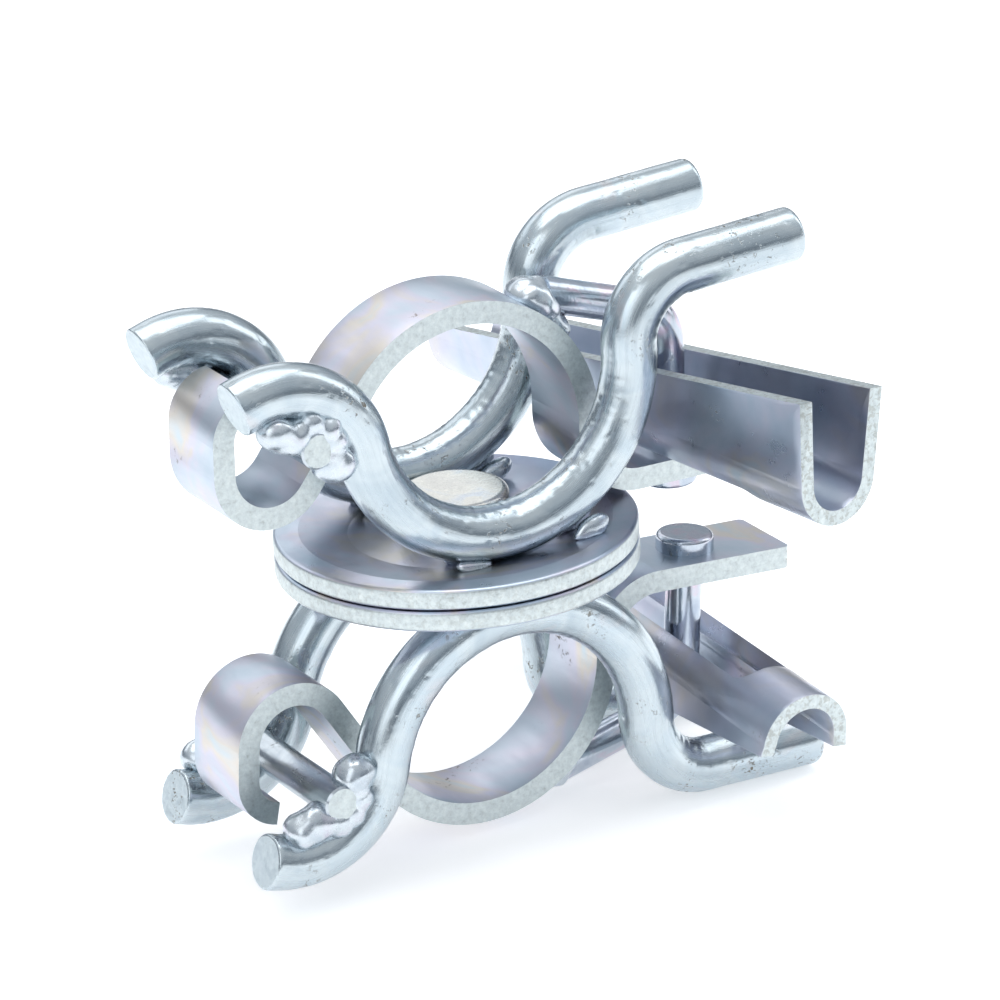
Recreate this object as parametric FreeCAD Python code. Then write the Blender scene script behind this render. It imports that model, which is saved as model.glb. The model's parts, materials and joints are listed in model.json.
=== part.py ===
import FreeCAD, Part
import math
import os

# Swivel wedge coupler for 48.3 mm scaffold tube.  Millimetres.
# Origin: centre of the lower tube seat, on the swivel axis.  Z is the swivel axis, X runs along the
# bars towards the wedges, Y is the axis of both tube seats.  A half is drawn standing on the middle
# of the plate pair; the lower half is the same half turned over about X, and the whole is then
# lifted onto its origin.

# --- driving sizes -------------------------------------------------------------------------------
TUBE_D = 48.3            # scaffold tube
TUBE_CLEARANCE = 0.1     # radial, tube in the cradle of the bars

BAR_D = 11.0             # round bars
BAR_GAP = 26.0           # clear width between the two bars of a half
BAR_LEFT_RISE = 79.0     # degrees of cradle on the hinge side
BAR_RIGHT_RISE = 91.0    # degrees of cradle on the wedge side
BAR_LEFT_BEND_R = 18.8   # centre-line radius of the outward bend over the hinge pin
BAR_LEFT_DROOP = 17.0    # degrees below level of the hinge-side tail
BAR_LEFT_TAIL = 2.6
BAR_RIGHT_BEND_R = 13.5
BAR_RIGHT_SLOPE = 2.0    # degrees above level of the wedge-side ends
BAR_RIGHT_TAIL = 25.0
BAR_END_ROUND = 1.3      # tumbled edge of the wedge-side ends
BAR_CROP_ROUND = 0.5     # edge left by cropping, hinge side

PLATE_D = 71.0           # swivel plates
PLATE_T = 4.1
PLATE_GAP = 0.3          # running gap between the two plates
DISH_DEPTH = 1.3         # centre of each plate is pressed down inside its flat rim
DISH_FLOOR_R = 21.0
DISH_RIM_R = 30.5
BAR_SINK = 0.2           # bars melt this far into the plate when they are welded on

RIVET_D = 14.0
RIVET_HEAD_D = 21.5
RIVET_HEAD_T = 8.0
RIVET_EDGE = 1.4         # rounding of the head's edge
RIVET_CLEARANCE = 0.06   # radial, in the upper plate
HEAD_GAP = 0.1           # between the upper plate and the rivet head

PIN_D = 7.2              # hinge pin
PIN_ANGLE = 48.0         # where the pin nests inside the left bend, degrees above level
PIN_BITE = 0.1           # the pin is resistance-welded this far into the bars

STRAP_W = 18.0
STRAP_T = 4.5
RING_SLACK = 0.85        # inside radius of the ring over the tube's radius
RING_X = -1.0            # centre of the ring, strap lying with its lug level
RING_DROP = 14.5         # the slack ring lies this far below the tube's axis
HOOK_R = 7.7             # inside radius of the hook round the hinge pin
HOOK_OUT = 2.2           # hook's centre beyond the pin, away from the tube
HOOK_BELOW = 7.62        # hook's centre below the pin, as the strap lies slack
HOOK_LEG = 6.4           # straight rise on the outer side of the hook
HOOK_LIP_R = 5.2         # inside radius of the curl at the hook's free end
HOOK_LIP_TURN = 82.0
FLARE_R = 9.1            # inside radius of the bend from ring to lug
LUG_Z = 7.3              # plate-side face of the lug, level
LUG_REACH = 19.1         # lug beyond the guide rod
UPPER_SAG = -2.0         # degrees about the pin: the upper strap lies on the plate's rim
LOWER_SAG = 4.5          # degrees about the pin: the lower strap hangs to the ground

ROD_D = 7.2              # guide rod
ROD_OFF_RING = 20.8      # guide rod's axis from the outside of the ring
ROD_HOLE_CLEARANCE = 0.3
ROD_HEAD_D = 11.6
ROD_HEAD_T = 3.4
ROD_BEND_R = 9.0
ROD_LEG_SLOPE = 17.5     # degrees the leg climbs from the bend to the ring
ROD_LEG_LIFT = 19.9      # leg's axis above the ring's centre, ROD_LEG_BACK short of the upright
ROD_LEG_BACK = 13.1

WEDGE_L = 117.0
WEDGE_W = 20.4
WEDGE_T = 3.0
WEDGE_DEEP = 26.0        # height of the channel at the deep end
WEDGE_NARROW = 12.0
WEDGE_ARCH = 1.2         # the web is this much narrower than the free edges, at the deep end
SLOT_LEDGE = 0.4         # web left beside the slot, each side, inside the channel
SLOT_DEEP_BRIDGE = 17.0  # web left at the deep end
SLOT_NARROW_BRIDGE = 14.0
WEDGE_REST_GAP = 0.4
UPPER_ROD_AT = 52.4      # distance of the rod from the wedge's deep end
LOWER_ROD_AT = 76.0
UPPER_YAW = 7.0          # degrees the wedge lies askew, seen from above
LOWER_YAW = -2.5
UPPER_ROLL = 5.0         # degrees the wedge leans outward
LOWER_ROLL = 9.0
UPPER_WEDGE_SHIFT = -0.8 # outward, off the guide rod's axis
LOWER_WEDGE_SHIFT = -0.2
LOWER_PITCH = 1.5        # degrees the narrow end stands off the bars

# --- derived sizes -------------------------------------------------------------------------------
BAR_R = BAR_D / 2
BAR_Y = (BAR_GAP + BAR_D) / 2
CRADLE_R = TUBE_D / 2 + TUBE_CLEARANCE + BAR_R
PLATE_BOTTOM = PLATE_GAP / 2
PLATE_TOP = PLATE_BOTTOM + PLATE_T
DISH_FLOOR = PLATE_TOP - DISH_DEPTH
BAR_LOW = DISH_FLOOR - BAR_SINK + BAR_R
TUBE_Z = BAR_LOW + CRADLE_R
RING_R = TUBE_D / 2 + RING_SLACK
RING_Z = TUBE_Z - RING_DROP
ROD_X = RING_X + RING_R + STRAP_T + ROD_OFF_RING
LUG_END_X = ROD_X + LUG_REACH
ROD_LEG_Z = RING_Z + ROD_LEG_LIFT
ROD_LEG_X = ROD_X - ROD_LEG_BACK
SLOT_W = WEDGE_W - 2 * (WEDGE_T + SLOT_LEDGE)
SLOPE = math.degrees(math.atan((WEDGE_DEEP - WEDGE_NARROW) / WEDGE_L))

V = FreeCAD.Vector
X_AXIS = V(1, 0, 0)
Y_AXIS = V(0, 1, 0)
Z_AXIS = V(0, 0, 1)


def polar(x, z, r, degrees):
    a = math.radians(degrees)
    return V(x + r * math.cos(a), 0, z + r * math.sin(a))


def trace(point, heading, steps):
    """Follow lines and tangent arcs in the XZ plane; a left turn is positive."""
    run = []
    for kind, size, turn in steps:
        h = math.radians(heading)
        ahead = V(math.cos(h), 0, math.sin(h))
        if kind == "line":
            end = point + ahead * size
            run.append(("line", point, end, None, None))
        else:
            side = 1 if turn > 0 else -1
            centre = point + V(-math.sin(h), 0, math.cos(h)) * size * side
            start = heading - 90 * side
            end = polar(centre.x, centre.z, size, start + turn)
            middle = polar(centre.x, centre.z, size, start + turn / 2)
            run.append(("arc", point, end, middle, (centre, size, start, turn)))
            heading = heading + turn
        point = end
    return run, point, heading


def edges_of(run, mirror=1):
    edges = []
    for kind, start, end, middle, arc in run:
        a = V(start.x * mirror, 0, start.z)
        b = V(end.x * mirror, 0, end.z)
        if kind == "line":
            edges.append(Part.LineSegment(a, b).toShape())
        else:
            edges.append(Part.Arc(a, V(middle.x * mirror, 0, middle.z), b).toShape())
    return edges


def round_bar(edges, start, direction, radius):
    """Round stock bent along a chain of edges."""
    path = Part.Wire(Part.__sortEdges__(edges))
    section = Part.Wire([Part.Circle(start, direction, radius).toShape()])
    return path.makePipeShell([section], True, False)


def band(run, width, thickness):
    """Flat stock bent along a chain of lines and arcs, on edge about the XZ plane."""
    solid = None
    half = thickness / 2
    for kind, start, end, middle, arc in run:
        if kind == "line":
            ahead = (end - start).normalize()
            across = V(-ahead.z, 0, ahead.x) * half
            corners = [start + across, end + across, end - across, start - across]
            outline = Part.makePolygon(corners + [corners[0]])
        else:
            centre, r, a0, turn = arc
            outer = [polar(centre.x, centre.z, r + half, a0 + turn * k / 2) for k in range(3)]
            inner = [polar(centre.x, centre.z, r - half, a0 + turn * k / 2) for k in range(3)]
            outline = Part.Wire([
                Part.Arc(outer[0], outer[1], outer[2]).toShape(),
                Part.LineSegment(outer[2], inner[2]).toShape(),
                Part.Arc(inner[2], inner[1], inner[0]).toShape(),
                Part.LineSegment(inner[0], outer[0]).toShape()])
        piece = Part.Face(outline).extrude(V(0, width, 0))
        piece.translate(V(0, -width / 2, 0))
        solid = piece if solid is None else solid.fuse(piece)
    return solid.removeSplitter()


def turned(profile):
    """Solid of revolution about Z from (radius, height) corners."""
    points = [V(r, 0, z) for r, z in profile]
    outline = Part.makePolygon(points + [points[0]])
    return Part.Face(outline).revolve(V(0, 0, 0), Z_AXIS, 360)


def bead(centre, sizes, tilt=0.0):
    """A lump of weld: a ball stretched to three half-lengths and tilted about Y."""
    ball = Part.makeSphere(1.0)
    matrix = FreeCAD.Matrix()
    matrix.scale(sizes[0], sizes[1], sizes[2])
    lump = ball.transformGeometry(matrix)
    lump.rotate(V(0, 0, 0), Y_AXIS, tilt)
    lump.translate(centre)
    return lump


def fillet_lump(centre, radius, length, tilt):
    """A short run of weld: round stock with ball ends, lying in the XZ plane."""
    half = length / 2
    run = Part.makeCylinder(radius, length, V(-half, 0, 0), X_AXIS)
    run = run.fuse([Part.makeSphere(radius, V(-half, 0, 0)), Part.makeSphere(radius, V(half, 0, 0))])
    run = run.removeSplitter()
    run.rotate(V(0, 0, 0), Y_AXIS, tilt)
    run.translate(centre)
    return run


def only(shape):
    """The one solid of a shape that has just been cut."""
    solids = sorted(shape.Solids, key=lambda s: s.Volume)
    return solids[-1]


# --- bars: cradle arc, then bent outward at both ends --------------------------------------------
bottom = V(0, 0, BAR_LOW)
right_run, right_end, right_heading = trace(bottom, 0, [
    ("arc", CRADLE_R, BAR_RIGHT_RISE),
    ("arc", BAR_RIGHT_BEND_R, BAR_RIGHT_SLOPE - BAR_RIGHT_RISE),
    ("line", BAR_RIGHT_TAIL, 0)])
left_run, left_end, left_heading = trace(bottom, 0, [
    ("arc", CRADLE_R, BAR_LEFT_RISE),
    ("arc", BAR_LEFT_BEND_R, -BAR_LEFT_DROOP - BAR_LEFT_RISE),
    ("line", BAR_LEFT_TAIL, 0)])
heading = math.radians(right_heading)
bar_edges = edges_of(right_run) + edges_of(left_run, -1)
bar = round_bar(bar_edges, right_end, V(math.cos(heading), 0, math.sin(heading)), BAR_R)

for tip, rounding in ((right_end, BAR_END_ROUND), (V(-left_end.x, 0, left_end.z), BAR_CROP_ROUND)):
    rim = [e for e in bar.Edges if (e.CenterOfMass - tip).Length < 0.05]
    bar = bar.makeFillet(rounding, rim)

tail_start = right_run[2][1]


def bar_underside(x):
    """Plate-side height of the wedge-side tails."""
    return tail_start.z + (x - tail_start.x) * math.tan(heading) - BAR_R / math.cos(heading)


# --- swivel plate: a disc with its centre pressed down inside the rim ----------------------------
rim_edge = 0.5
plate = turned([
    (0, PLATE_BOTTOM), (PLATE_D / 2 - rim_edge, PLATE_BOTTOM), (PLATE_D / 2, PLATE_BOTTOM + rim_edge),
    (PLATE_D / 2, PLATE_TOP - rim_edge), (PLATE_D / 2 - rim_edge, PLATE_TOP),
    (DISH_RIM_R, PLATE_TOP), (DISH_FLOOR_R, DISH_FLOOR), (0, DISH_FLOOR)])
bore = Part.makeCylinder(RIVET_D / 2, 40, V(0, 0, -20))
running_bore = Part.makeCylinder(RIVET_D / 2 + RIVET_CLEARANCE, 40, V(0, 0, -20))

# --- rivet: shank through both plates with an upset head at each end -----------------------------
head_top = DISH_FLOOR + RIVET_HEAD_T
under_upper = DISH_FLOOR + HEAD_GAP
head_r = RIVET_HEAD_D / 2
upper_head = Part.makeCylinder(head_r, head_top - under_upper, V(0, 0, under_upper))
lower_head = Part.makeCylinder(head_r, RIVET_HEAD_T, V(0, 0, -head_top))
rivet = Part.makeCylinder(RIVET_D / 2, head_top * 2, V(0, 0, -head_top)).fuse([upper_head, lower_head])
rivet = rivet.removeSplitter()
rims = [e for e in rivet.Edges if abs(abs(e.CenterOfMass.z) - head_top) < 0.01 and e.Length > head_r]
rivet = rivet.makeFillet(RIVET_EDGE, rims)

# --- hinge pin, nested in the concave side of the left bends -------------------------------------
left_bend = left_run[1][4][0]
pin_reach = BAR_LEFT_BEND_R - BAR_R - PIN_D / 2 + PIN_BITE
pin_at = polar(-left_bend.x, left_bend.z, pin_reach, PIN_ANGLE)
pin_length = BAR_GAP + 2 * BAR_D
pin = Part.makeCylinder(PIN_D / 2, pin_length, V(pin_at.x, -pin_length / 2, pin_at.z), Y_AXIS)
pin_ends = [e for e in pin.Edges if abs(abs(e.CenterOfMass.y) - pin_length / 2) < 0.01]
pin = pin.makeChamfer(0.4, pin_ends)

# --- strap: hook, reverse line, ring and lug in one piece of flat bar ----------------------------
hook_x = pin_at.x - HOOK_OUT
hook_z = pin_at.z - HOOK_BELOW
ring_mid = RING_R + STRAP_T / 2
hook_mid = HOOK_R + STRAP_T / 2
lip_mid = HOOK_LIP_R + STRAP_T / 2
flare_mid = FLARE_R + STRAP_T / 2
lug_mid = LUG_Z + STRAP_T / 2
gap_x = RING_X - hook_x
gap_z = RING_Z - hook_z
centres = math.hypot(gap_x, gap_z)
cross = math.degrees(math.acos((ring_mid + hook_mid) / centres))
leave = 180 + math.degrees(math.atan2(gap_z, gap_x)) - cross
reverse_line = math.sqrt(centres ** 2 - (ring_mid + hook_mid) ** 2)
lug_x = RING_X + ring_mid + flare_mid
strap_run, lip_end, lip_heading = trace(V(LUG_END_X, 0, lug_mid), 180, [
    ("line", LUG_END_X - lug_x, 0),
    ("arc", flare_mid, -90),
    ("line", RING_Z - lug_mid - flare_mid, 0),
    ("arc", ring_mid, leave),
    ("line", reverse_line, 0),
    ("arc", hook_mid, -leave),
    ("line", HOOK_LEG, 0),
    ("arc", lip_mid, -HOOK_LIP_TURN)])
strap = band(strap_run, STRAP_W, STRAP_T)
lug_hole = Part.makeCylinder(ROD_D / 2 + ROD_HOLE_CLEARANCE, 20, V(ROD_X, 0, lug_mid - 10))
strap = strap.cut(lug_hole)
lug_corners = [e for e in strap.Edges if abs(e.CenterOfMass.x - LUG_END_X) < 0.01
               and abs(abs(e.CenterOfMass.y) - STRAP_W / 2) < 0.01]
strap = strap.makeFillet(1.2, lug_corners)

# --- guide rod: forged head under the lug, upright, bend, leg welded on the ring -----------------
turn = 90 - ROD_LEG_SLOPE
meet_z = ROD_LEG_Z - (ROD_X - ROD_LEG_X) * math.tan(math.radians(ROD_LEG_SLOPE))
tangent = ROD_BEND_R * math.tan(math.radians(turn / 2))
touch = RING_R + STRAP_T + ROD_D / 2
rod_foot = V(ROD_X, 0, LUG_Z - 1.0)
leg_heading = math.radians(180 - ROD_LEG_SLOPE)
leg_start = V(ROD_X, 0, meet_z) + V(math.cos(leg_heading), 0, math.sin(leg_heading)) * tangent
offset = V(leg_start.x - RING_X, 0, leg_start.z - RING_Z)
along = offset.x * math.cos(leg_heading) + offset.z * math.sin(leg_heading)
leg_length = -along - math.sqrt(max(along ** 2 - offset.Length ** 2 + touch ** 2, 0.0))
rod_run, rod_end, rod_heading = trace(rod_foot, 90, [
    ("line", meet_z - tangent - rod_foot.z, 0),
    ("arc", ROD_BEND_R, turn),
    ("line", leg_length, 0)])
rod = round_bar(edges_of(rod_run), rod_foot, Z_AXIS, ROD_D / 2)
head_low = LUG_Z - ROD_HEAD_T
rod_head = Part.makeCylinder(ROD_HEAD_D / 2, ROD_HEAD_T, V(ROD_X, 0, head_low))
head_edges = [e for e in rod_head.Edges if abs(e.CenterOfMass.z - head_low) < 0.01 and e.Length > 20]
rod_head = rod_head.makeFillet(1.0, head_edges)
rod = rod.fuse(rod_head).removeSplitter()
seat = math.degrees(math.atan2(rod_end.z - RING_Z, rod_end.x - RING_X))
rod_weld = bead(polar(RING_X, RING_Z, RING_R + STRAP_T + 1.6, seat + 1), (5.4, 5.2, 4.2), 90 - seat)
rod_weld = rod_weld.fuse(bead(polar(RING_X, RING_Z, RING_R + STRAP_T + 0.4, seat - 9), (4.6, 5.6, 2.6),
                              90 - seat))
rod_weld = only(rod_weld.cut(rod).cut(strap))


# --- wedge: channel pressed from plate, deep at one end, slotted along its web -------------------
def channel_outline(y, height, web_inset):
    """U section at one end of the wedge, web at the bottom on Z = 0."""
    wires = []
    for inset in (0, WEDGE_T):
        top = WEDGE_W / 2 - inset
        side = WEDGE_W / 2 - web_inset - inset
        wires.append((V(-top, y, height), V(-side, y, side + inset), V(0, y, inset),
                      V(side, y, side + inset), V(top, y, height)))
    outer, inner = wires
    return Part.Wire([
        Part.LineSegment(outer[0], outer[1]).toShape(),
        Part.Arc(outer[1], outer[2], outer[3]).toShape(),
        Part.LineSegment(outer[3], outer[4]).toShape(),
        Part.LineSegment(outer[4], inner[4]).toShape(),
        Part.LineSegment(inner[4], inner[3]).toShape(),
        Part.Arc(inner[3], inner[2], inner[1]).toShape(),
        Part.LineSegment(inner[1], inner[0]).toShape(),
        Part.LineSegment(inner[0], outer[0]).toShape()])


deep_end = channel_outline(0, WEDGE_DEEP, WEDGE_ARCH)
narrow_end = channel_outline(WEDGE_L, WEDGE_NARROW, WEDGE_ARCH / 3)
wedge = Part.makeLoft([deep_end, narrow_end], True, True)
slot_from = SLOT_DEEP_BRIDGE
slot_to = WEDGE_L - SLOT_NARROW_BRIDGE
slot = Part.makeBox(SLOT_W, slot_to - slot_from, 8, V(-SLOT_W / 2, slot_from, -1))
slot_corners = [e for e in slot.Edges if abs(e.BoundBox.ZLength - 8) < 0.01]
slot = slot.makeFillet(SLOT_W / 4, slot_corners)
wedge = only(wedge.cut(slot))

# --- welds of the frame --------------------------------------------------------------------------
bars = []
for side in (-1, 1):
    one = bar.copy()
    one.translate(V(0, side * BAR_Y, 0))
    bars.append(one.cut(plate).cut(pin))

plate_welds = []
for side in (-1, 1):
    for x, tilt, length in ((-8.0, 12.0, 4.2), (17.5, -24.0, 4.4)):
        z = DISH_FLOOR + 0.6 + (1.6 if x > 10 else 0.2)
        for flank in (-1, 1):
            y = side * BAR_Y + flank * (BAR_R * (0.62 if x > 10 else 0.5))
            lump = bead(V(x, y, z), (length, 1.5, 1.5 + (0.8 if x > 10 else 0)), tilt)
            lump = lump.cut(bars[0]).cut(bars[1]).cut(plate)
            plate_welds.append(only(lump))

pin_welds = []
for side in (-1, 1):
    for dx, dz, radius, length, tilt in ((-5.6, 3.9, 2.9, 4.0, 24), (4.4, -4.0, 3.2, 1.0, 45)):
        centre = V(pin_at.x + dx, side * (pin_length / 2 - 3.1), pin_at.z + dz)
        lump = fillet_lump(centre, radius, length, tilt)
        lump = lump.cut(bars[0]).cut(bars[1]).cut(pin)
        pin_welds.append(only(lump))


# --- place the strap and the wedge as they lie ---------------------------------------------------
def swung(shape, degrees):
    """Turn a strap piece about the hinge pin; positive lifts it off the plate."""
    piece = shape.copy()
    piece.rotate(pin_at, Y_AXIS, -degrees)
    return piece


def swung_point(point, degrees):
    a = math.radians(degrees)
    dx = point.x - pin_at.x
    dz = point.z - pin_at.z
    return V(pin_at.x + dx * math.cos(a) - dz * math.sin(a), point.y,
             pin_at.z + dx * math.sin(a) + dz * math.cos(a))


upper_wedge = wedge.copy()
upper_wedge.translate(V(0, -UPPER_ROD_AT, 0))
upper_wedge.rotate(V(0, 0, 0), Y_AXIS, UPPER_ROLL)
upper_wedge.rotate(V(0, 0, 0), Z_AXIS, UPPER_YAW)
arch_r = WEDGE_W / 2 - WEDGE_ARCH * 2 / 3
lug_face = swung_point(V(ROD_X, 0, LUG_Z + STRAP_T), UPPER_SAG)
lean = math.radians(UPPER_ROLL + UPPER_SAG)
crown = arch_r - math.sqrt(arch_r ** 2 - (SLOT_W / 2) ** 2)
rest_z = lug_face.z - crown + SLOT_W / 2 * math.sin(lean) + WEDGE_REST_GAP
upper_wedge.translate(V(lug_face.x + UPPER_WEDGE_SHIFT, 0, rest_z))

lower_wedge = wedge.copy()
lower_wedge.translate(V(0, -LOWER_ROD_AT, 0))
at_rod = WEDGE_DEEP - LOWER_ROD_AT * math.tan(math.radians(SLOPE))
lower_wedge.translate(V(-WEDGE_W / 2, 0, -at_rod))
lower_wedge.rotate(V(0, 0, 0), X_AXIS, SLOPE - LOWER_PITCH)
lower_wedge.rotate(V(0, 0, 0), Y_AXIS, -LOWER_ROLL)
lower_wedge.rotate(V(0, 0, 0), Z_AXIS, LOWER_YAW)
edge_x = ROD_X + LOWER_WEDGE_SHIFT + WEDGE_W / 2
tipped = (BAR_Y + BAR_R) * math.sin(math.radians(LOWER_PITCH))
lower_wedge.translate(V(edge_x, 0, bar_underside(edge_x) - WEDGE_REST_GAP - tipped))

# --- write the pieces ----------------------------------------------------------------------------
pieces = {}
for name, shape in (("hinge_pin", pin), ("plate_welds", Part.makeCompound(plate_welds)),
                    ("pin_welds", Part.makeCompound(pin_welds))):
    pieces["upper_" + name] = shape
    pieces["lower_" + name] = shape
pieces["upper_near_bar"], pieces["upper_far_bar"] = bars
pieces["lower_far_bar"], pieces["lower_near_bar"] = bars
pieces["upper_plate"] = plate.cut(running_bore)
pieces["lower_plate"] = plate.cut(bore)
pieces["swivel_rivet"] = rivet
for half, sag in (("upper", UPPER_SAG), ("lower", LOWER_SAG)):
    pieces[half + "_strap"] = swung(strap, sag)
    pieces[half + "_guide_rod"] = swung(rod, sag)
    pieces[half + "_rod_weld"] = swung(rod_weld, sag)
pieces["upper_wedge"] = upper_wedge
pieces["lower_wedge"] = lower_wedge

os.makedirs("parts", exist_ok=True)
for name in sorted(pieces):
    shape = pieces[name].copy()
    if name.startswith("lower_"):
        shape.rotate(V(0, 0, 0), X_AXIS, 180)
    shape.translate(V(0, 0, TUBE_Z))
    shape.exportStep("parts/" + name + ".step")
    print(name, len(shape.Solids), round(shape.Volume, 1), shape.isValid())


# --- where the joints are, for the record --------------------------------------------------------
def shown(label, x, y, z):
    print(label, round(x, 5), round(y, 5), round(z, 5))


up = V(0, 1, 0)
upper_slide = FreeCAD.Rotation(Z_AXIS, UPPER_YAW).multVec(up)
edge_line = FreeCAD.Rotation(X_AXIS, -LOWER_PITCH).multVec(up)
edge_line = FreeCAD.Rotation(Y_AXIS, -LOWER_ROLL).multVec(edge_line)
lower_slide = FreeCAD.Rotation(Z_AXIS, LOWER_YAW).multVec(edge_line)
shown("upper pin", pin_at.x, 0, TUBE_Z + pin_at.z)
shown("lower pin", pin_at.x, 0, TUBE_Z - pin_at.z)
shown("swivel", 0, 0, TUBE_Z)
shown("upper tube seat", 0, 0, 2 * TUBE_Z)
shown("upper wedge slides along", -upper_slide.x, -upper_slide.y, -upper_slide.z)
shown("lower wedge slides along", -lower_slide.x, lower_slide.y, lower_slide.z)
clear = ROD_D / 2 + 0.5
print("upper wedge travel", round(slot_from + clear - UPPER_ROD_AT, 2), round(slot_to - clear - UPPER_ROD_AT, 2))
print("lower wedge travel", round(slot_from + clear - LOWER_ROD_AT, 2), round(slot_to - clear - LOWER_ROD_AT, 2))
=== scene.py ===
import json
import math

import bmesh
import bpy
import numpy as np
from mathutils import Matrix, Vector, noise


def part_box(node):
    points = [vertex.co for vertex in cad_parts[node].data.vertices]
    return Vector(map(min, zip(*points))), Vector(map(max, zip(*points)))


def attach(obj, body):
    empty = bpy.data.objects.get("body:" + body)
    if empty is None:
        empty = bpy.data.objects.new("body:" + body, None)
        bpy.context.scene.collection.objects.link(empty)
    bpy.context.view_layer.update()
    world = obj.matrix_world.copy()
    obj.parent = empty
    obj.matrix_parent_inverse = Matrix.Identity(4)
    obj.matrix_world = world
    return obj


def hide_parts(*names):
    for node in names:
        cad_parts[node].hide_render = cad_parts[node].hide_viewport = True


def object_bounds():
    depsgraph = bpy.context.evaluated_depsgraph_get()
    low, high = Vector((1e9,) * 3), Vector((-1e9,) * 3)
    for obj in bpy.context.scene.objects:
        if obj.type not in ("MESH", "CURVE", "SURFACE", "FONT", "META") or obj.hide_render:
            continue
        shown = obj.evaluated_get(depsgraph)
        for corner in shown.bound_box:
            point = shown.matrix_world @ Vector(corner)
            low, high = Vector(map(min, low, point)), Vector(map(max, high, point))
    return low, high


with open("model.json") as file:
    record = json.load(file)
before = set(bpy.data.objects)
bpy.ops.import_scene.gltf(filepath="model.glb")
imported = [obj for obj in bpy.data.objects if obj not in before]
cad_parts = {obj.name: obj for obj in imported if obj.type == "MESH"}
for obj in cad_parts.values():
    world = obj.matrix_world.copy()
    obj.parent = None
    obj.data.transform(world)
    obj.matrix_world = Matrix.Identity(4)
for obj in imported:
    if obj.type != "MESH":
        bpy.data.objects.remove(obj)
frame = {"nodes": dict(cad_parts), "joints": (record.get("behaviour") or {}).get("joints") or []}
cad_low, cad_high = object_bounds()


# --- Swivel plates: two steel discs blanked and pressed, bright zinc electroplate over them.
# The faces are smooth with lilac and straw films from the passivating bath; the blanked rims
# are matt and torn, with a few dark specks where the plating is thin.
nodes = frame["nodes"]
MM = 0.001
EDGE_BREAK = 0.3
GRAIN_MM, PIT_MM, CROWD_MM, TEAR_MM = 0.55, 1.1, 11, 1.3
GRAIN_HEIGHT, PIT_DEPTH, TEAR_HEIGHT = 0.012, 0.09, 0.08
PIT_COLOUR, BURR_COLOUR = "#7d766a", "#77705f"


def linear(code):
    """An sRGB hex colour as linear RGBA."""
    parts = [int(code[k:k + 2], 16) / 255 for k in (1, 3, 5)]
    return tuple(c / 12.92 if c <= 0.04045 else ((c + 0.055) / 1.055) ** 2.4 for c in parts) + (1.0,)


def add(tree, kind, links=None, stops=None, **settings):
    """Adds a node with its settings, socket values and links."""
    made = tree.nodes.new(kind)
    for key, value in settings.items():
        setattr(made, key, value)
    if stops:
        ramp = made.color_ramp
        while len(ramp.elements) < len(stops):
            ramp.elements.new(0.5)
        for element, (place, code) in zip(ramp.elements, stops):
            element.position = place
            element.color = linear(code)
    for key, value in (links or {}).items():
        if isinstance(value, bpy.types.NodeSocket):
            tree.links.new(value, made.inputs[key])
        else:
            made.inputs[key].default_value = value
    return made


def sheared(facing, least=-1.0, most=2.0, across=(0, 0, 0), middle=0.0, beyond=-1.0):
    """A test for faces left by a shear or a blanking tool.

    The face's slope to the direction facing lies between least and most, as the cosine of the
    angle, and it is more than beyond mm off the plane that lies middle mm along across.
    """
    return facing, least, most, across, middle, beyond


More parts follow.
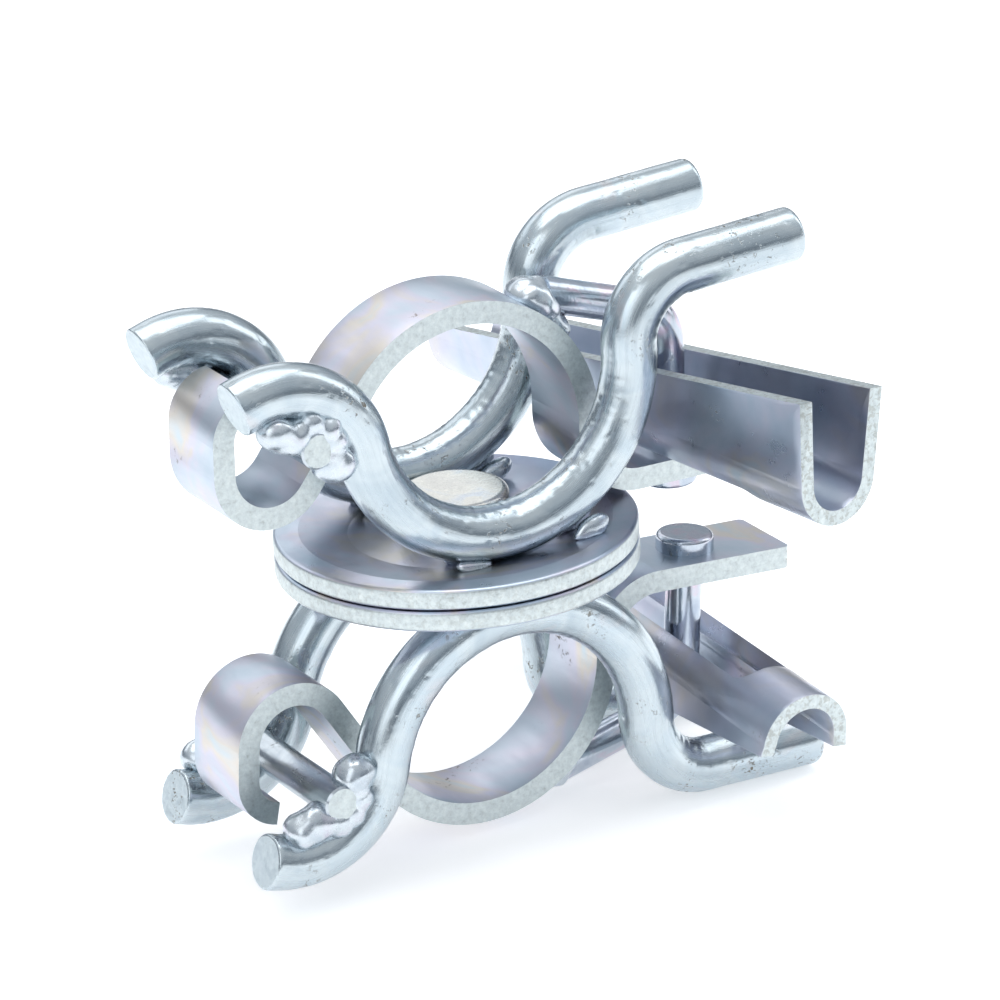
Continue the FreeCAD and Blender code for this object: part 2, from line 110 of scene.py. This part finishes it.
def zinc(name, films, film_mm, streak_mm, stretch, gloss, wave_mm, pitting, torn=(), straight=None,
         soil=0.06):
    """Bright zinc electroplate on steel.

    films: the tints that the bath leaves, in patches of film_mm.  streak_mm and stretch: spacing
    and direction of the marks from drawing or rolling, and wave_mm their height.  gloss: lowest
    and highest roughness.  pitting: share of the surface that is pitted, below 0 for almost none.
    torn: sheared faces, pale and matt.  soil: how much they are specked.  straight: the mesh
    attribute that holds the straight stock's coordinates, so that draw marks follow a bend.
    """
    made = bpy.data.materials.new(name)
    made.use_nodes = True
    tree = made.node_tree
    tree.nodes.clear()
    place = add(tree, "ShaderNodeTexCoord")
    at = place.outputs["Object"]
    if straight:
        stock = add(tree, "ShaderNodeAttribute", attribute_name=straight)
    per_metre = 1 / MM
    film = add(tree, "ShaderNodeTexNoise", {"Vector": at, "Scale": per_metre / film_mm, "Detail": 3.0,
                                            "Roughness": 0.55, "Distortion": 0.8})
    tint = add(tree, "ShaderNodeValToRGB", {"Fac": film.outputs["Fac"]}, stops=films)
    drawn = add(tree, "ShaderNodeMapping", {"Vector": stock.outputs["Vector"] if straight else at,
                                            "Scale": stretch})
    streak = add(tree, "ShaderNodeTexNoise", {"Vector": drawn.outputs["Vector"],
                                              "Scale": per_metre / streak_mm, "Detail": 4.0,
                                              "Roughness": 0.6})
    # The plating's real grain is too fine to show: drawn as coarse as it needs to.
    grain = add(tree, "ShaderNodeTexNoise", {"Vector": at, "Scale": per_metre / GRAIN_MM, "Detail": 3.0,
                                             "Roughness": 0.65})
    # Pits come in crowds.
    crowd = add(tree, "ShaderNodeTexNoise", {"Vector": at, "Scale": per_metre / CROWD_MM, "Detail": 1.0})
    crowded = add(tree, "ShaderNodeMapRange", {"Value": crowd.outputs["Fac"],
                                               "From Min": 0.66 - 0.3 * pitting,
                                               "From Max": 0.8 - 0.3 * pitting})
    spot = add(tree, "ShaderNodeTexNoise", {"Vector": at, "Scale": per_metre / PIT_MM, "Detail": 2.0,
                                            "Roughness": 0.7, "Distortion": 0.5})
    spotted = add(tree, "ShaderNodeMapRange", {"Value": spot.outputs["Fac"], "From Min": 0.6,
                                               "From Max": 0.68})
    pit = add(tree, "ShaderNodeMath", {0: crowded.outputs["Result"], 1: spotted.outputs["Result"]},
              operation="MULTIPLY")
    brushed = add(tree, "ShaderNodeMix", {"Factor": streak.outputs["Fac"], "A": tint.outputs["Color"],
                                          "B": linear("#eef2f5")}, data_type="RGBA", blend_type="MULTIPLY")
    colour = add(tree, "ShaderNodeMix", {"Factor": pit.outputs["Value"], "A": brushed.outputs["Result"],
                                         "B": linear(PIT_COLOUR)}, data_type="RGBA")
    shine = add(tree, "ShaderNodeMapRange", {"Value": streak.outputs["Fac"], "From Min": 0.3,
                                             "From Max": 0.7, "To Min": gloss[0], "To Max": gloss[1]})
    rough = add(tree, "ShaderNodeMath", {0: pit.outputs["Value"], 1: 0.25, 2: shine.outputs["Result"]},
                operation="MULTIPLY_ADD")
    marks = add(tree, "ShaderNodeMath", {0: streak.outputs["Fac"], 1: wave_mm, 2: 0.0},
                operation="MULTIPLY_ADD")
    height = add(tree, "ShaderNodeMath", {0: grain.outputs["Fac"], 1: GRAIN_HEIGHT,
                                          2: marks.outputs["Value"]}, operation="MULTIPLY_ADD")
    sunk = add(tree, "ShaderNodeMath", {0: pit.outputs["Value"], 1: -PIT_DEPTH,
                                        2: height.outputs["Value"]}, operation="MULTIPLY_ADD")
    out_colour, out_rough, out_height = (colour.outputs["Result"], rough.outputs["Value"],
                                         sunk.outputs["Value"])
    if torn:
        tear = add(tree, "ShaderNodeTexNoise", {"Vector": at, "Scale": per_metre / TEAR_MM, "Detail": 5.0,
                                                "Roughness": 0.72})
        raw = add(tree, "ShaderNodeValToRGB", {"Fac": tear.outputs["Fac"]},
                  stops=[(0.3, "#aab1b0"), (0.4, "#bfc8ca"), (0.55, "#cbd4d5"), (0.72, "#d8dfdf")])
        lump = add(tree, "ShaderNodeMath", {0: tear.outputs["Fac"], 1: TEAR_HEIGHT, 2: 0.0},
                   operation="MULTIPLY_ADD")
        for axis, least, most, side, middle, off in torn:
            facing = add(tree, "ShaderNodeVectorMath", {0: place.outputs["Normal"], 1: axis},
                         operation="DOT_PRODUCT")
            turned = add(tree, "ShaderNodeMath", {0: facing.outputs["Value"]}, operation="ABSOLUTE")
            across = add(tree, "ShaderNodeVectorMath", {0: at, 1: side}, operation="DOT_PRODUCT")
            shifted = add(tree, "ShaderNodeMath", {0: across.outputs["Value"], 1: middle * MM},
                          operation="SUBTRACT")
            away = add(tree, "ShaderNodeMath", {0: shifted.outputs["Value"]}, operation="ABSOLUTE")
            beyond = add(tree, "ShaderNodeMath", {0: away.outputs["Value"], 1: off * MM},
                         operation="GREATER_THAN")
            over = add(tree, "ShaderNodeMath", {0: turned.outputs["Value"], 1: least},
                       operation="GREATER_THAN")
            under = add(tree, "ShaderNodeMath", {0: turned.outputs["Value"], 1: most},
                        operation="LESS_THAN")
            both = add(tree, "ShaderNodeMath", {0: over.outputs["Value"], 1: under.outputs["Value"]},
                       operation="MULTIPLY")
            edge = add(tree, "ShaderNodeMath", {0: both.outputs["Value"], 1: beyond.outputs["Value"]},
                       operation="MULTIPLY")
            # A face picked head on is specked more along its rounded rim than in its middle.
            burr = add(tree, "ShaderNodeMapRange", {"Value": turned.outputs["Value"], "From Min": 0.97,
                                                    "From Max": 0.9, "To Min": soil,
                                                    "To Max": 0.7 if most > 1 else 0.15})
            burr_spot = add(tree, "ShaderNodeMapRange", {"Value": spot.outputs["Fac"], "From Min": 0.5,
                                                         "From Max": 0.6})
            dirt = add(tree, "ShaderNodeMath", {0: burr.outputs["Result"], 1: burr_spot.outputs["Result"]},
                       operation="MULTIPLY")
            soiled = add(tree, "ShaderNodeMix", {"Factor": dirt.outputs["Value"], "A": raw.outputs["Color"],
                                                 "B": linear(BURR_COLOUR)}, data_type="RGBA")
            mixed = add(tree, "ShaderNodeMix", {"Factor": edge.outputs["Value"], "A": out_colour,
                                                "B": soiled.outputs["Result"]}, data_type="RGBA")
            dull = add(tree, "ShaderNodeMix", {"Factor": edge.outputs["Value"], "A": out_rough, "B": 0.44})
            ragged = add(tree, "ShaderNodeMix", {"Factor": edge.outputs["Value"], "A": out_height,
                                                 "B": lump.outputs["Value"]})
            out_colour, out_rough, out_height = (mixed.outputs["Result"], dull.outputs["Result"],
                                                 ragged.outputs["Result"])
    skin = add(tree, "ShaderNodeBump", {"Height": out_height, "Distance": MM, "Strength": 1.0})
    steel = add(tree, "ShaderNodeBsdfPrincipled", {"Base Color": out_colour, "Metallic": 1.0,
                                                   "Roughness": out_rough,
                                                   "Normal": skin.outputs["Normal"]})
    add(tree, "ShaderNodeOutputMaterial", {"Surface": steel.outputs["BSDF"]})
    return made


def dress(names, material, rounding=0.0):
    """Gives CAD nodes their finish, and breaks their sharp edges by a real radius."""
    for name in names:
        piece = nodes[name]
        piece.data.materials.clear()
        piece.data.materials.append(material)
        if rounding:
            weld = piece.modifiers.new("shared_edges", "WELD")
            weld.merge_threshold = 1e-6
            edge = piece.modifiers.new("broken_edges", "BEVEL")
            edge.width = rounding * MM
            edge.segments = 2
            edge.limit_method = "ANGLE"
            edge.angle_limit = math.radians(40)


# Pressed smooth: broad soft reflections, cloudy with film, and hardly a pit.
plate_zinc = zinc("zinc_on_pressed_disc",
                  [(0.3, "#bdcad6"), (0.44, "#c6cfdc"), (0.54, "#cfcedb"), (0.64, "#d5d0ca"),
                   (0.76, "#c1d0da")],
                  20, 7, (1, 1, 1), (0.27, 0.4), 0.035, -0.2, torn=[sheared((0, 0, 1), most=0.5)])
dress(["upper_plate", "lower_plate"], plate_zinc, EDGE_BREAK)

# --- Swivel rivet: one steel rivet through both plates, heads upset cold under a press.
# The plating on the head is warm grey and nearly smooth, with faint handling scratches.
rivet_zinc = zinc("zinc_on_rivet_head", [(0.35, "#d5d2cc"), (0.5, "#dedbd3"), (0.65, "#cfd3d8")],
                  10, 1.2, (1, 6, 1), (0.2, 0.34), 0.012, 0.1)
dress(["swivel_rivet"], rivet_zinc)

# --- Bars: 11 mm drawn round bar, cropped to length and cold bent, two to a half and four alike.
# Bright plating over draw lines that run with the bar, wrinkles inside the bends, scuffs and
# pits where the tools gripped, and pale matt faces where the ends were cropped.
BAR_R, BAR_GAP = 5.5, 26.0
BAR_Y = BAR_GAP / 2 + BAR_R
TUBE_R, TUBE_CLEARANCE = 24.15, 0.1
CRADLE_R = TUBE_R + TUBE_CLEARANCE + BAR_R
SWIVEL_HEIGHT = frame["joints"][0]["pos_m"][2] / MM
HINGE_TAIL, HINGE_DROOP, HINGE_BEND_R, HINGE_RISE = 2.6, 17.0, 18.8, 79.0
WEDGE_RISE, WEDGE_BEND_R, WEDGE_SLOPE, WEDGE_TAIL = 91.0, 13.5, 2.0, 25.0
BAR_STEPS = [("line", HINGE_TAIL, 0), ("arc", HINGE_BEND_R, -HINGE_RISE - HINGE_DROOP),
             ("arc", CRADLE_R, HINGE_RISE + WEDGE_RISE), ("arc", WEDGE_BEND_R, WEDGE_SLOPE - WEDGE_RISE),
             ("line", WEDGE_TAIL, 0)]
CROP_ROUND, TUMBLE_ROUND = 0.5, 1.3
STEP, AROUND = 0.45, 76
# Heights of the marks in mm; the skin is sunk to keep most of them within the bar's size.
DRAW_LINE, WAVE, CRIMP, GOUGE, SKIN_SUNK = 0.02, 0.07, 0.1, 0.12, 0.08


def bar_stations():
    """Points (x, z, heading, distance, bend) along the bent centre line, from the hinge side.

    The line is walked backwards from the foot of the cradle to find its start.
    """
    rise, start = math.radians(HINGE_RISE), math.radians(HINGE_DROOP)
    x = -(CRADLE_R + HINGE_BEND_R) * math.sin(rise) - HINGE_BEND_R * math.sin(start)
    z = SWIVEL_HEIGHT - (CRADLE_R + HINGE_BEND_R) * math.cos(rise) + HINGE_BEND_R * math.cos(start)
    x -= HINGE_TAIL * math.cos(start)
    z -= HINGE_TAIL * math.sin(start)
    heading = start
    distance, found = 0.0, []
    for kind, size, turn in BAR_STEPS:
        length = size if kind == "line" else size * math.radians(abs(turn))
        bend = 0.0 if kind == "line" else math.copysign(1 / size, turn)
        count = max(2, round(length / STEP))
        for k in range(count):
            found.append((x, z, heading, distance, bend))
            heading += bend * length / count / 2
            x += math.cos(heading) * length / count
            z += math.sin(heading) * length / count
            heading += bend * length / count / 2
            distance += length / count
    found.append((x, z, heading, distance, 0.0))
    return found


def end_radii(distance, length):
    """Share of the full radius at a station, for the rounded rims of both ends."""
    for away, rounding in ((distance, CROP_ROUND), (length - distance, TUMBLE_ROUND)):
        if away < rounding:
            return (BAR_R - rounding + math.sqrt(rounding ** 2 - (rounding - away) ** 2)) / BAR_R
    return 1.0


def relief(distance, turn, bend, seed):
    """Height in mm of the marks on the bar's skin: draw lines, waves, crimps and gouges."""
    flat = Vector((distance * 0.12, BAR_R * math.cos(turn), BAR_R * math.sin(turn)))
    lines = noise.noise(flat * 1.9 + seed) * DRAW_LINE
    swell = noise.noise(Vector((distance * 0.16, flat.y * 0.3, flat.z * 0.3)) + seed) * WAVE
    inner = max(0.0, math.sin(turn) * math.copysign(1, bend)) if bend else 0.0
    crimp = noise.noise(Vector((distance * 0.75, flat.y * 0.35, flat.z * 0.35)) - seed) * CRIMP * inner ** 2
    gouge = noise.noise(Vector((distance * 0.5, flat.y * 1.1, flat.z * 1.1)) + seed * 2)
    return lines + swell + crimp - GOUGE * max(0.0, gouge - 0.42) / 0.3 - SKIN_SUNK


def bar_mesh(name, half, side):
    """The bent bar as rings of vertices, with the straight stock's coordinates kept on it.

    half: 1 above the swivel, -1 below.  side: 1 or -1, which of the two bars.
    """
    seed = Vector((17.0 * half, 5.0 * side, 3.0 * half * side))
    stations = bar_stations()
    length = stations[-1][3]
    rings, stock, faces = [], [], []
    crop_rim = [CROP_ROUND * k / 4 for k in range(4)]
    tumbled_rim = [length - TUMBLE_ROUND * k / 7 for k in range(7)]
    between = [st[3] for st in stations if CROP_ROUND < st[3] < length - TUMBLE_ROUND]
    distances = sorted(crop_rim + between + tumbled_rim)
    line = np.array([(st[3], st[0], st[1], st[2]) for st in stations])
    bends = [st[4] for st in stations]
    for distance in distances:
        x, z, heading = (np.interp(distance, line[:, 0], line[:, k]) for k in (1, 2, 3))
        bend = bends[min(int(np.searchsorted(line[:, 0], distance)), len(bends) - 1)]
        share = end_radii(distance, length)
        for k in range(AROUND):
            turn = 2 * math.pi * k / AROUND
            r = BAR_R * share + relief(distance, turn, bend, seed)
            y = r * math.cos(turn)
            out = r * math.sin(turn)
            px = x - math.sin(heading) * out
            pz = z + math.cos(heading) * out
            rings.append((px * MM, half * (side * BAR_Y + y) * MM, (SWIVEL_HEIGHT + half * pz) * MM))
            stock.append((distance * MM, y * MM, out * MM))
    count = len(distances)
    for i in range(count - 1):
        for k in range(AROUND):
            a, b = i * AROUND + k, i * AROUND + (k + 1) % AROUND
            faces.append((a, b, b + AROUND, a + AROUND))
    faces.append(tuple(range(AROUND))[::-1])
    faces.append(tuple((count - 1) * AROUND + k for k in range(AROUND)))
    mesh = bpy.data.meshes.new(name)
    mesh.from_pydata(rings, [], faces)
    mesh.attributes.new("straight_stock", "FLOAT_VECTOR", "POINT").data.foreach_set(
        "vector", np.array(stock, np.float32).ravel())
    mesh.polygons.foreach_set("use_smooth", [True] * (len(faces) - 2) + [False, False])
    mesh.polygons.foreach_set("material_index", [0] * (len(faces) - 2) + [1, 1])
    tidy = bmesh.new()
    tidy.from_mesh(mesh)
    bmesh.ops.recalc_face_normals(tidy, faces=tidy.faces)
    tidy.to_mesh(mesh)
    tidy.free()
    return mesh


# Drawn bright: long sharp reflections, broken by fine lines along the bar and by crowds of pits.
bar_zinc = zinc("zinc_on_drawn_bar",
                [(0.3, "#b6c2c9"), (0.5, "#c8d1d5"), (0.62, "#bfcbd2"), (0.75, "#cdccce")],
                14, 0.8, (0.05, 1, 1), (0.14, 0.34), 0.035, 0.33, straight="straight_stock")
# Torn by the crop: pale, matt and coarse.
crop_zinc = zinc("zinc_on_cropped_end", [(0.3, "#bcc7cd"), (0.5, "#ccd6da"), (0.7, "#c4ced4")],
                 3, 1.2, (1, 1, 1), (0.36, 0.5), 0.08, 0.35)
for half, way_up in (("upper", 1), ("lower", -1)):
    for which, side in (("near", -1), ("far", 1)):
        bar_name = f"{half}_{which}_bar"
        skin_mesh = bar_mesh(bar_name + "_skin", way_up, side * way_up)
        made = bpy.data.objects.new(bar_name + "_skin", skin_mesh)
        made.data.materials.append(bar_zinc)
        made.data.materials.append(crop_zinc)
        bpy.context.scene.collection.objects.link(made)
        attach(made, half + "_frame")
        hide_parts(bar_name)

# --- Welds: tacks between bars and plates, lumps at both ends of each hinge pin, and the lump
# that ties each guide rod to its ring.  Run by hand, so rippled and uneven, and plated bright.
# Frozen from the melt: glossy and rippled, with a lilac film.
weld_zinc = zinc("zinc_on_weld", [(0.3, "#c3ccd4"), (0.55, "#d2d9de"), (0.7, "#cfced8")],
                 6, 2.0, (1, 1, 1), (0.18, 0.36), 0.05, 0.15)
# Each bed of weld metal: degrees round the pin, distance from its axis and radius, both in mm.
PIN_BEDS = [(48, 4.6, 2.3), (92, 4.7, 2.3), (8, 4.7, 2.2), (128, 4.6, 2.2), (-25, 4.5, 2.0)]
BED_INSET = 0.2
WELD_GRID, FLOW_ROUNDS, SKIN_ROUNDS = 0.3, 24, 10


def pin_beds(half):
    """Weld metal between each end of a hinge pin and its bar: centres and radii in mm."""
    hinge = next(j for j in frame["joints"] if j["name"] == half + "_strap_hinge")["pos_m"]
    way_up = 1 if half == "upper" else -1
    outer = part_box(half + "_pin_welds")[1][1] / MM
    for side in (-1, 1):
        for turn, away, radius in PIN_BEDS:
            lean = math.radians(turn)
            yield (Vector((hinge[0] / MM + away * math.cos(lean), side * (outer - radius - BED_INSET),
                           hinge[2] / MM + way_up * away * math.sin(lean))), radius)


def settle(metal, rounds):
    """Evens out molten metal, as its surface tension does."""
    for _ in range(rounds):
        bmesh.ops.smooth_vert(metal, verts=metal.verts, factor=0.5, use_axis_x=True, use_axis_y=True,
                              use_axis_z=True)
    metal.normal_update()


def run_of_weld(node, body, swell, lumpiness, beds=()):
    """A weld node's solids, with any beds added, swollen and rippled as the metal froze.

    swell and lumpiness: how far in mm the metal stands out, and how much that varies.
    """
    source = nodes[node].data.copy()
    if beds:
        metal = bmesh.new()
        metal.from_mesh(source)
        for centre, radius in beds:
            bmesh.ops.create_icosphere(metal, subdivisions=3, radius=radius * MM,
                                       matrix=Matrix.Translation(centre * MM))
        metal.to_mesh(source)
        metal.free()
    made = bpy.data.objects.new(node + "_run", source)
    bpy.context.scene.collection.objects.link(made)
    fused = made.modifiers.new("fused", "REMESH")
    fused.mode = "VOXEL"
    fused.voxel_size = WELD_GRID * MM
    bpy.context.view_layer.update()
    baked = bpy.data.meshes.new_from_object(made.evaluated_get(bpy.context.evaluated_depsgraph_get()))
    made.modifiers.clear()
    made.data = baked
    made.data.materials.clear()
    made.data.materials.append(weld_zinc)
    soft = bmesh.new()
    soft.from_mesh(baked)
    settle(soft, FLOW_ROUNDS)
    for v in soft.verts:
        at = v.co / MM
        ripple = noise.noise(at * 0.3) * 0.9 + noise.noise(at * 0.7) * 0.25
        v.co = v.co + v.normal * (swell + ripple * lumpiness) * MM
    settle(soft, SKIN_ROUNDS)
    soft.to_mesh(baked)
    soft.free()
    baked.polygons.foreach_set("use_smooth", [True] * len(baked.polygons))
    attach(made, body)
    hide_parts(node)


for half in ("upper", "lower"):
    run_of_weld(half + "_plate_welds", half + "_frame", 0.4, 0.4)
    run_of_weld(half + "_pin_welds", half + "_frame", 0.9, 0.7, list(pin_beds(half)))
    run_of_weld(half + "_rod_weld", half + "_strap_body", 0.5, 0.9)

# --- Hinge pins: 7.2 mm drawn rod, one to a half, that the strap's hook hangs on.
# Cropped to the width of the pair of bars and welded to them at both ends: smooth and glossy
# along the rod, pale and matt on the cropped ends.
pin_zinc = zinc("zinc_on_pin", [(0.3, "#b2bac2"), (0.6, "#c6cdd2")], 8, 1.5, (1, 0.2, 1), (0.14, 0.3),
                0.03, 0.2, torn=[sheared((0, 1, 0), least=0.9)])
dress(["upper_hinge_pin", "lower_hinge_pin"], pin_zinc)

# --- Straps: flat bar 18 by 4.5 mm, rolled to a ring, curled to a hook and flared to a lug.
# The wide faces are satin with rolling marks and a faint lilac and straw film; the long edges
# and the lug's end are as sheared, pale and matt.
STRAP_EDGE_BREAK = 0.35
LUG_END_BEYOND = 60.0  # mm off the swivel's axis: past this a face across the bar is a sheared end
strap_zinc = zinc("zinc_on_flat_bar",
                  [(0.3, "#c0cdd8"), (0.45, "#c9d1dc"), (0.55, "#d2cfdb"), (0.64, "#d8d1c9"),
                   (0.75, "#c5d3dc")],
                  19, 5, (1, 0.25, 1), (0.34, 0.48), 0.025, 0.1,
                  torn=[sheared((0, 1, 0), least=0.2),
                        sheared((1, 0, 0), least=0.97, across=(1, 0, 0), beyond=LUG_END_BEYOND)])
dress(["upper_strap", "lower_strap"], strap_zinc, STRAP_EDGE_BREAK)

# --- Guide rods: 7.2 mm rod with a forged button head, passed through the strap's lug, through
# the wedge's slot, and bent back to the ring, where it is welded.  Polished by the wedge sliding
# on it, so the streaks run along the upright and the film is a stronger lilac.
rod_zinc = zinc("zinc_on_guide_rod",
                [(0.3, "#aeb8c6"), (0.5, "#c2c9d2"), (0.62, "#cdc0cc"), (0.75, "#bfc5d8")],
                9, 1.6, (3, 3, 0.3), (0.1, 0.24), 0.03, 0.15)
dress(["upper_guide_rod", "lower_guide_rod"], rod_zinc)

# --- Wedges: 3 mm plate, slotted along its web and folded to a tapering channel.
# The flanks are smooth and half glossy under a cool blue-grey film; the ends and the free edges
# of the flanks are sheared, pale and specked brown where the plating has failed.
WEDGE_W, WEDGE_T = 20.4, 3.0
INSIDE_FLANK = 0.15  # mm off a flank's inner face: points farther out are on its free edge
LEAN = {"upper": 5.0, "lower": 9.0}  # degrees about the wedge's own length
for half, lean in LEAN.items():
    slide = next(j for j in frame["joints"] if j["name"] == half + "_wedge_slide")
    along = Vector(slide["axis"])
    level = Vector((abs(along.y), -along.x * math.copysign(1, along.y), 0)).normalized()
    across = level * math.cos(math.radians(lean)) - Vector((0, 0, math.sin(math.radians(lean))))
    across = (across - along * across.dot(along)).normalized()
    up = along.cross(across).normalized()
    spread = [v.co.dot(across) / MM for v in nodes[half + "_wedge"].data.vertices]
    middle = (min(spread) + max(spread)) / 2
    wedge_zinc = zinc("zinc_on_folded_plate_" + half,
                      [(0.3, "#b9c4d2"), (0.44, "#c3cbd8"), (0.54, "#cccdda"), (0.64, "#d0cccd"),
                       (0.76, "#becbd6")],
                      24, 8, (1, 1, 1), (0.26, 0.4), 0.03, -0.2,
                      torn=[sheared(along, least=0.85),
                            sheared(up, least=0.9, across=across, middle=middle,
                                    beyond=WEDGE_W / 2 - WEDGE_T + INSIDE_FLANK)],
                      soil=0.32)
    dress([half + "_wedge"], wedge_zinc, EDGE_BREAK)

# --- Floor: a plain sheet of white paper, matt, so large that its edge is out of sight.
# Its faint fibre varies the white by a shade, and it glows a little, as paper does under lamps.
FLOOR_REACH, FLOOR_CLEAR = 60.0, 0.0004
low = cad_low.z - FLOOR_CLEAR
floor_mesh = bpy.data.meshes.new("floor")
floor_mesh.from_pydata([(-FLOOR_REACH, -FLOOR_REACH, low), (FLOOR_REACH, -FLOOR_REACH, low),
                        (FLOOR_REACH, FLOOR_REACH, low), (-FLOOR_REACH, FLOOR_REACH, low)],
                       [], [(0, 1, 2, 3)])
floor = bpy.data.objects.new("floor", floor_mesh)
bpy.context.scene.collection.objects.link(floor)
sheet = bpy.data.materials.new("white_sheet")
sheet.use_nodes = True
sheet_tree = sheet.node_tree
sheet_tree.nodes.clear()
fibre = add(sheet_tree, "ShaderNodeTexNoise", {"Scale": 400.0, "Detail": 2.0})
shade = add(sheet_tree, "ShaderNodeValToRGB", {"Fac": fibre.outputs["Fac"]},
            stops=[(0.0, "#f7f8f9"), (1.0, "#fbfbfc")])
paper = add(sheet_tree, "ShaderNodeBsdfPrincipled", {"Base Color": shade.outputs["Color"],
                                                     "Roughness": 0.9,
                                                     "Emission Color": linear("#ffffff"),
                                                     "Emission Strength": 0.42})
add(sheet_tree, "ShaderNodeOutputMaterial", {"Surface": paper.outputs["BSDF"]})
floor_mesh.materials.append(sheet)

# --- Room and lamps: pale walls with a darker band just above the horizon, which gives the
# plated steel its dark streaks, and four big soft boxes.
world = bpy.data.worlds.new("pale_room")
bpy.context.scene.world = world
world.use_nodes = True
room = world.node_tree
room.nodes.clear()
way = add(room, "ShaderNodeTexCoord")
split = add(room, "ShaderNodeSeparateXYZ", {"Vector": way.outputs["Generated"]})
walls = add(room, "ShaderNodeValToRGB", {"Fac": split.outputs["Z"]},
            stops=[(0.0, "#8b929b"), (0.1, "#757d86"), (0.28, "#a9b0b8"), (0.5, "#d3d7dc"),
                   (1.0, "#e2e4e6")])
glow = add(room, "ShaderNodeBackground", {"Color": walls.outputs["Color"], "Strength": 1.0})
add(room, "ShaderNodeOutputWorld", {"Surface": glow.outputs["Background"]})

centre = (cad_low + cad_high) / 2
for name, away, size, power in (("soft_box_above", (0.05, 0.1, 0.9), (1.0, 0.8), 4.2),
                                ("soft_box_left", (-0.8, -0.5, 0.5), (0.6, 0.9), 1.8),
                                ("soft_box_right", (0.8, -0.1, 0.45), (0.35, 0.9), 1.4),
                                ("soft_box_behind", (0.0, 0.9, 0.5), (1.2, 0.4), 1.3)):
    lamp = bpy.data.lights.new(name, "AREA")
    lamp.shape = "RECTANGLE"
    lamp.size, lamp.size_y = size
    lamp.energy = power
    box = bpy.data.objects.new(name, lamp)
    box.location = centre + Vector(away)
    box.rotation_euler = (-Vector(away)).to_track_quat("-Z", "Y").to_euler()
    bpy.context.scene.collection.objects.link(box)

# --- Camera: long lens, a little above the object and to the left of the tubes' axis, rolled by
# a few degrees and aimed just off the swivel.
AZIMUTH, ELEVATION, ROLL = math.radians(-29.26), math.radians(21.87), math.radians(-3.21)
DISTANCE, ASIDE, RAISED = 1.22997, 0.0084, 0.00782
LENS, SENSOR = 228.77, 36.0
back = Vector((math.sin(AZIMUTH) * math.cos(ELEVATION), -math.cos(AZIMUTH) * math.cos(ELEVATION),
               math.sin(ELEVATION)))
level = Vector((math.cos(AZIMUTH), math.sin(AZIMUTH), 0))
upward = back.cross(level)
right = level * math.cos(ROLL) + upward * math.sin(ROLL)
top = upward * math.cos(ROLL) - level * math.sin(ROLL)
stand = Vector((0, 0, SWIVEL_HEIGHT * MM)) + back * DISTANCE + right * ASIDE + top * RAISED
camera_data = bpy.data.cameras.new("camera")
camera_data.sensor_width = SENSOR
camera_data.lens = LENS
camera = bpy.data.objects.new("camera", camera_data)
camera.matrix_world = Matrix(((right.x, top.x, back.x, stand.x), (right.y, top.y, back.y, stand.y),
                              (right.z, top.z, back.z, stand.z), (0, 0, 0, 1)))
bpy.context.scene.collection.objects.link(camera)
bpy.context.scene.camera = camera
bpy.context.scene.view_settings.view_transform = "Standard"
